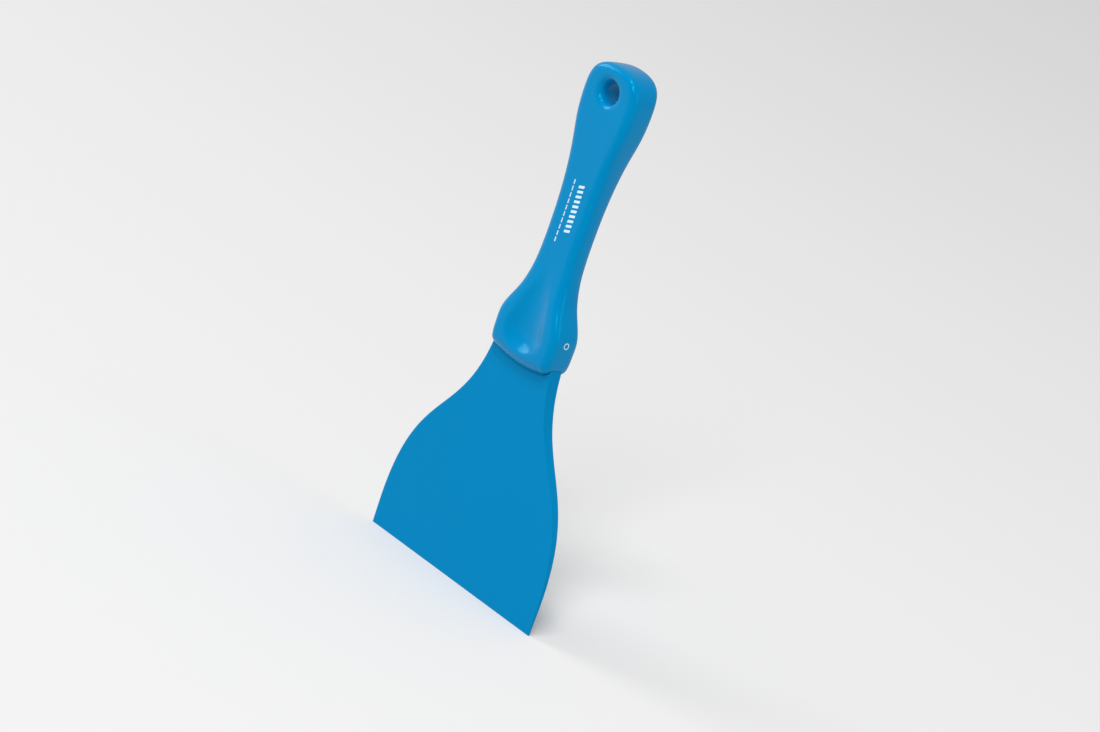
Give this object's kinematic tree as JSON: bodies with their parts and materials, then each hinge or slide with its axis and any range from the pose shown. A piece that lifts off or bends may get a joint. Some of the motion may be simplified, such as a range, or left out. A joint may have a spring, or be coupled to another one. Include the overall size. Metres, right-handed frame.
{
  "type": "hand scraper",
  "caption": "Plastic hand scraper: a wide wedge-shaped blade with swept sides, its tang held in a waisted moulded handle with thumb scoops and a hanging hole.",
  "frame": {"origin": "middle of the blade's edge", "axes": "+Z from the blade's edge up the handle, +X along the edge, -Y out of the front face"},
  "size_m": [0.112, 0.017, 0.2445],
  "materials": {
    "blade": "satin blue moulded plastic",
    "handle": "semi-gloss blue moulded plastic"
  },
  "bodies": {
    "root": {"blade": "blade", "handle": "handle"}
  },
  "joints": []
}
